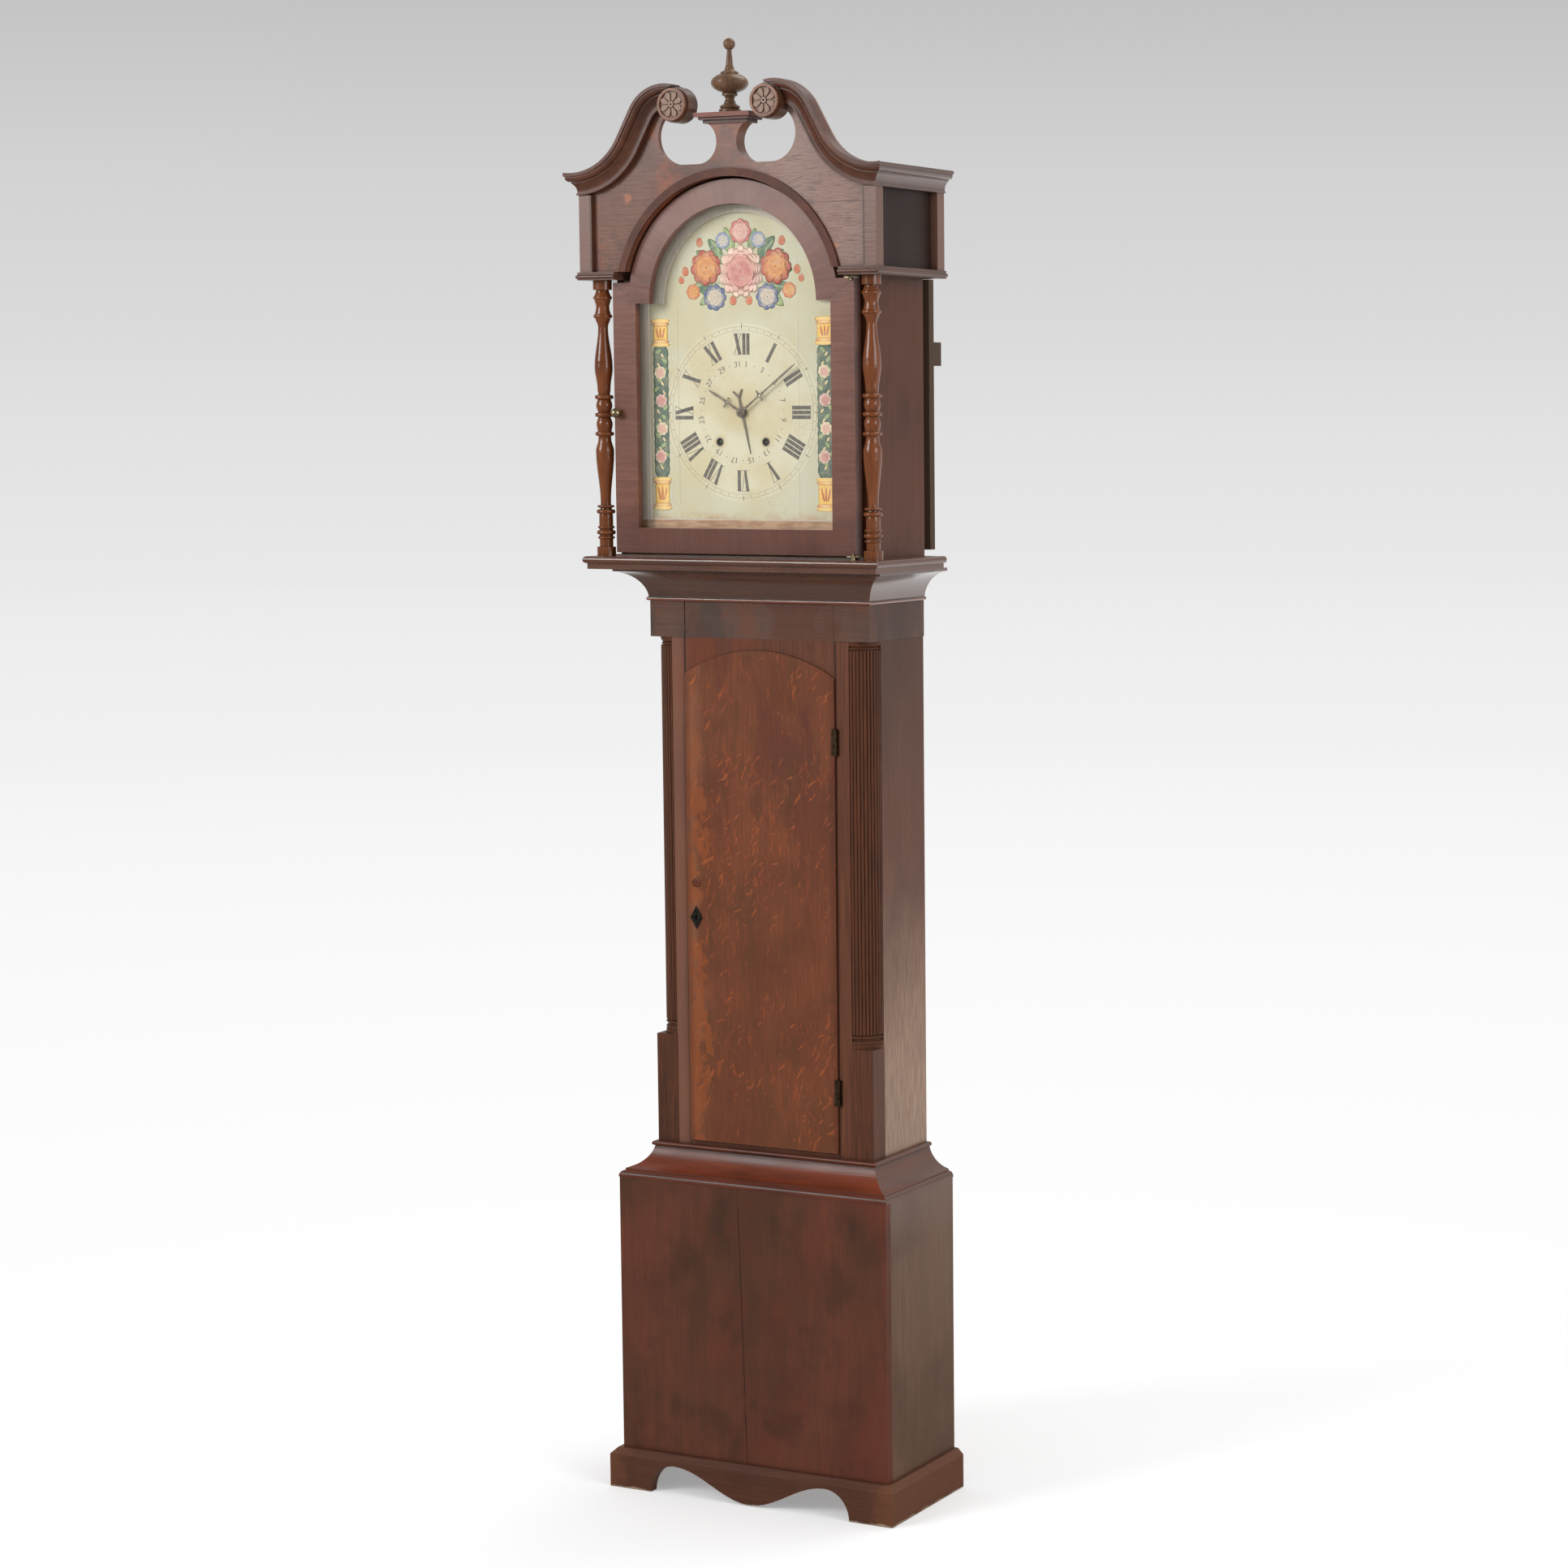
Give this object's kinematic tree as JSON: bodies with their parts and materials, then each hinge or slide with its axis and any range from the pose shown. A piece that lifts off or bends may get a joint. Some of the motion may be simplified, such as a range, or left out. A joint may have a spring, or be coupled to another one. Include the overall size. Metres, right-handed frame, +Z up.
{
  "type": "longcase clock",
  "caption": "Tall wooden pendulum clock: base on a shaped skirt, trunk with arched door between quarter columns, and a sliding hood with swan-neck top, finial, glazed door and painted dial.",
  "frame": {"origin": "on the floor, under the middle of the clock's overall box", "axes": "+Z up, -Y towards the viewer of the dial, +X to that viewer's right"},
  "size_m": [0.55, 0.3, 2.2495],
  "materials": {
    "mahogany": "waxed, dark red-brown",
    "dark_mahogany": "polished, very dark brown",
    "oak": "waxed oak with orange figure",
    "pine": "bare softwood",
    "brass": "aged brass",
    "steel": "worn steel",
    "weight_iron": "dull grey",
    "dark_iron": "dark, matte",
    "dial_paint": "cream paint, aged",
    "glass": "clear",
    "gut": "gut line"
  },
  "bodies": {
    "case": {"backboard": "pine", "base_front_panel": "mahogany", "base_boards": "mahogany", "bracket_skirt": "mahogany", "base_moulding": "mahogany", "trunk_sides": "mahogany", "trunk_front_frame": "mahogany", "quarter_columns": "mahogany", "trunk_frieze": "mahogany", "trunk_cove_moulding": "mahogany", "seat_board": "pine", "trunk_hinges": "brass", "dial": "dial_paint", "movement_frame": "brass", "back_cock": "brass", "bell": "brass", "going_cord": "gut", "strike_cord": "gut"},
    "trunk_door": {"trunk_door": "oak", "trunk_door_leaves": "brass", "escutcheon": "dark_iron", "door_lock": "dark_iron"},
    "lock_bolt": {"lock_bolt": "steel"},
    "hood": {"hood_sides": "mahogany", "hood_base": "mahogany", "hood_columns": "mahogany", "hood_frieze_frame": "mahogany", "side_frieze_panels": "dark_mahogany", "tympanum": "mahogany", "arch_band": "mahogany", "swan_neck_mouldings": "mahogany", "rosettes": "mahogany", "hood_cornices": "mahogany", "hood_top_board": "pine", "finial": "dark_mahogany", "dial_mask": "pine", "door_pivots": "brass"},
    "hood_door": {"hood_door": "dark_mahogany", "hood_door_glass": "glass", "hood_door_fittings": "brass"},
    "centre_arbor": {"centre_wheel": "brass", "minute_hand": "dark_iron"},
    "hour_pipe": {"hour_wheel": "brass", "hour_hand": "dark_iron"},
    "calendar_pipe": {"calendar_hand": "dark_iron"},
    "minute_wheel": {"minute_wheel": "brass"},
    "third_wheel": {"third_wheel": "brass"},
    "escape_wheel": {"escape_wheel": "brass"},
    "going_great_wheel": {"going_great_wheel": "brass"},
    "strike_great_wheel": {"strike_great_wheel": "brass"},
    "going_barrel": {"going_barrel": "brass"},
    "strike_barrel": {"strike_barrel": "brass"},
    "going_weight": {"going_weight": "weight_iron"},
    "strike_weight": {"strike_weight": "weight_iron"},
    "going_pulley": {"going_pulley": "brass"},
    "strike_pulley": {"strike_pulley": "brass"},
    "pendulum": {"pendulum_rod": "steel", "pendulum_bob": "brass"},
    "anchor": {"anchor": "steel"},
    "hammer": {"hammer": "steel"}
  },
  "joints": [
    {"name": "hood_slide", "type": "slide", "parent": "case", "child": "hood", "axis": [0, -1, 0], "range_m": [0, 0.26]},
    {"name": "hood_door_hinge", "type": "hinge", "parent": "hood", "child": "hood_door", "pos_m": [0.2064, -0.117, 1.687], "axis": [0, 0, 1], "range_deg": [0, 110]},
    {"name": "trunk_door_hinge", "type": "hinge", "parent": "case", "child": "trunk_door", "pos_m": [0.1341, -0.0506, 0.925], "axis": [0, 0, 1], "range_deg": [0, 115]},
    {"name": "lock_bolt_slide", "type": "slide", "parent": "trunk_door", "child": "lock_bolt", "axis": [-1, 0, 0], "range_m": [0, 0.007]},
    {"name": "centre_spin", "type": "hinge", "parent": "case", "child": "centre_arbor", "pos_m": [0, -0.024, 1.6948], "axis": [0, 1, 0], "continuous": true},
    {"name": "hour_spin", "type": "hinge", "parent": "case", "child": "hour_pipe", "pos_m": [0, -0.069, 1.6948], "axis": [0, 1, 0], "continuous": true},
    {"name": "calendar_spin", "type": "hinge", "parent": "case", "child": "calendar_pipe", "pos_m": [0, -0.081, 1.6948], "axis": [0, 1, 0], "continuous": true},
    {"name": "minute_wheel_spin", "type": "hinge", "parent": "case", "child": "minute_wheel", "pos_m": [0.012, -0.054, 1.67402], "axis": [0, 1, 0], "continuous": true},
    {"name": "third_wheel_spin", "type": "hinge", "parent": "case", "child": "third_wheel", "pos_m": [0.01395, -0.012, 1.71815], "axis": [0, 1, 0], "continuous": true},
    {"name": "escape_wheel_spin", "type": "hinge", "parent": "case", "child": "escape_wheel", "pos_m": [0, -0.012, 1.7358], "axis": [0, 1, 0], "continuous": true},
    {"name": "going_great_wheel_spin", "type": "hinge", "parent": "case", "child": "going_great_wheel", "pos_m": [0.0405, -0.0355, 1.6506], "axis": [0, 1, 0], "continuous": true},
    {"name": "strike_great_wheel_spin", "type": "hinge", "parent": "case", "child": "strike_great_wheel", "pos_m": [-0.0405, 0.0125, 1.6506], "axis": [0, 1, 0], "continuous": true},
    {"name": "going_weight_lift", "type": "slide", "parent": "case", "child": "going_weight", "axis": [0, 0, 1], "range_m": [0, 0.66], "deforming": ["going_cord"]},
    {"name": "strike_weight_lift", "type": "slide", "parent": "case", "child": "strike_weight", "axis": [0, 0, 1], "range_m": [0, 0.66], "deforming": ["strike_cord"]},
    {"name": "going_barrel_spin", "type": "hinge", "parent": "case", "child": "going_barrel", "pos_m": [0.0405, -0.011, 1.6506], "axis": [0, 1, 0], "range_deg": [0, 3319]},
    {"name": "strike_barrel_spin", "type": "hinge", "parent": "case", "child": "strike_barrel", "pos_m": [-0.0405, -0.011, 1.6506], "axis": [0, 1, 0], "range_deg": [0, 3319]},
    {"name": "going_pulley_spin", "type": "hinge", "parent": "going_weight", "child": "going_pulley", "pos_m": [0.0375, 0.0065, 0.8538], "axis": [0, 1, 0], "range_deg": [0, 1902]},
    {"name": "strike_pulley_spin", "type": "hinge", "parent": "strike_weight", "child": "strike_pulley", "pos_m": [-0.0435, 0.0065, 0.8538], "axis": [0, 1, 0], "range_deg": [0, 1902]},
    {"name": "pendulum_swing", "type": "hinge", "parent": "case", "child": "pendulum", "pos_m": [0, 0.054, 1.7638], "axis": [0, 1, 0], "range_deg": [-2.5, 2.5]},
    {"name": "anchor_swing", "type": "hinge", "parent": "case", "child": "anchor", "pos_m": [0, -0.012, 1.7638], "axis": [0, 1, 0], "range_deg": [-2.5, 2.5]},
    {"name": "hammer_lift", "type": "hinge", "parent": "case", "child": "hammer", "pos_m": [-0.052, -0.01175, 1.748], "axis": [0, 1, 0], "range_deg": [-12, 0]}
  ],
  "couplings": [
    {"joint": "hour_spin", "follows": "centre_spin", "ratio": 0.083333},
    {"joint": "calendar_spin", "follows": "centre_spin", "ratio": 0.0013441},
    {"joint": "minute_wheel_spin", "follows": "centre_spin", "ratio": -1},
    {"joint": "third_wheel_spin", "follows": "centre_spin", "ratio": -7.5},
    {"joint": "escape_wheel_spin", "follows": "centre_spin", "ratio": 60},
    {"joint": "going_great_wheel_spin", "follows": "centre_spin", "ratio": -0.083333},
    {"joint": "going_barrel_spin", "follows": "going_weight_lift", "rad_per_m": 87.719},
    {"joint": "going_pulley_spin", "follows": "going_weight_lift", "rad_per_m": 50.251},
    {"joint": "strike_barrel_spin", "follows": "strike_weight_lift", "rad_per_m": 87.719},
    {"joint": "strike_pulley_spin", "follows": "strike_weight_lift", "rad_per_m": 50.251},
    {"joint": "anchor_swing", "follows": "pendulum_swing", "ratio": 1}
  ]
}
